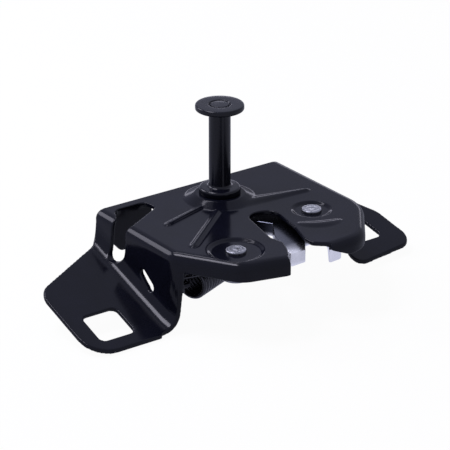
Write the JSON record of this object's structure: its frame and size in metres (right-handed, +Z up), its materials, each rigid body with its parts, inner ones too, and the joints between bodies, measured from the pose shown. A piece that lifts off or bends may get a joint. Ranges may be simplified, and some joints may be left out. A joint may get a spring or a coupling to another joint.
{
  "type": "bonnet latch",
  "caption": "Pressed steel bonnet latch with a headed guide pin, a fork claw across its striker mouth, a sprung pawl with a release arm, and tilted bolt flanges.",
  "frame": {"origin": "on the guide pin's axis, in the plane of the plate's top surface", "axes": "+Z up the guide pin, +X along the latch's long side from the bolt window to the open bolt slot, -Y towards the striker"},
  "size_m": [0.1745, 0.0885, 0.0772],
  "materials": {
    "black_coat": "satin black electrocoat",
    "zinc": "bright zinc plate",
    "dark_steel": "oiled dark steel"
  },
  "bodies": {
    "frame": {"frame_plate": "black_coat", "guide_pin": "black_coat", "claw_pivot": "zinc", "pawl_pivot": "zinc", "claw_upper_washer": "zinc", "claw_lower_washer": "zinc", "pawl_upper_washer": "zinc", "pawl_lower_washer": "zinc", "claw_spring": "dark_steel", "pawl_spring": "dark_steel"},
    "claw": {"claw": "zinc", "spring_post": "zinc"},
    "pawl": {"pawl": "dark_steel"}
  },
  "joints": [
    {"name": "claw_swing", "type": "hinge", "parent": "frame", "child": "claw", "pos_m": [0.0242, -0.0333, -0.0071], "axis": [0, 0, -1], "range_deg": [0, 58], "stiffness_Nm_per_rad": 0.3, "springref_deg": -45.84, "deforming": ["claw_spring"]},
    {"name": "pawl_release", "type": "hinge", "parent": "frame", "child": "pawl", "pos_m": [-0.0271, -0.0488, -0.0059], "axis": [0, 0, 1], "range_deg": [0, 18], "stiffness_Nm_per_rad": 0.2, "springref_deg": -45.84, "deforming": ["pawl_spring"]}
  ]
}
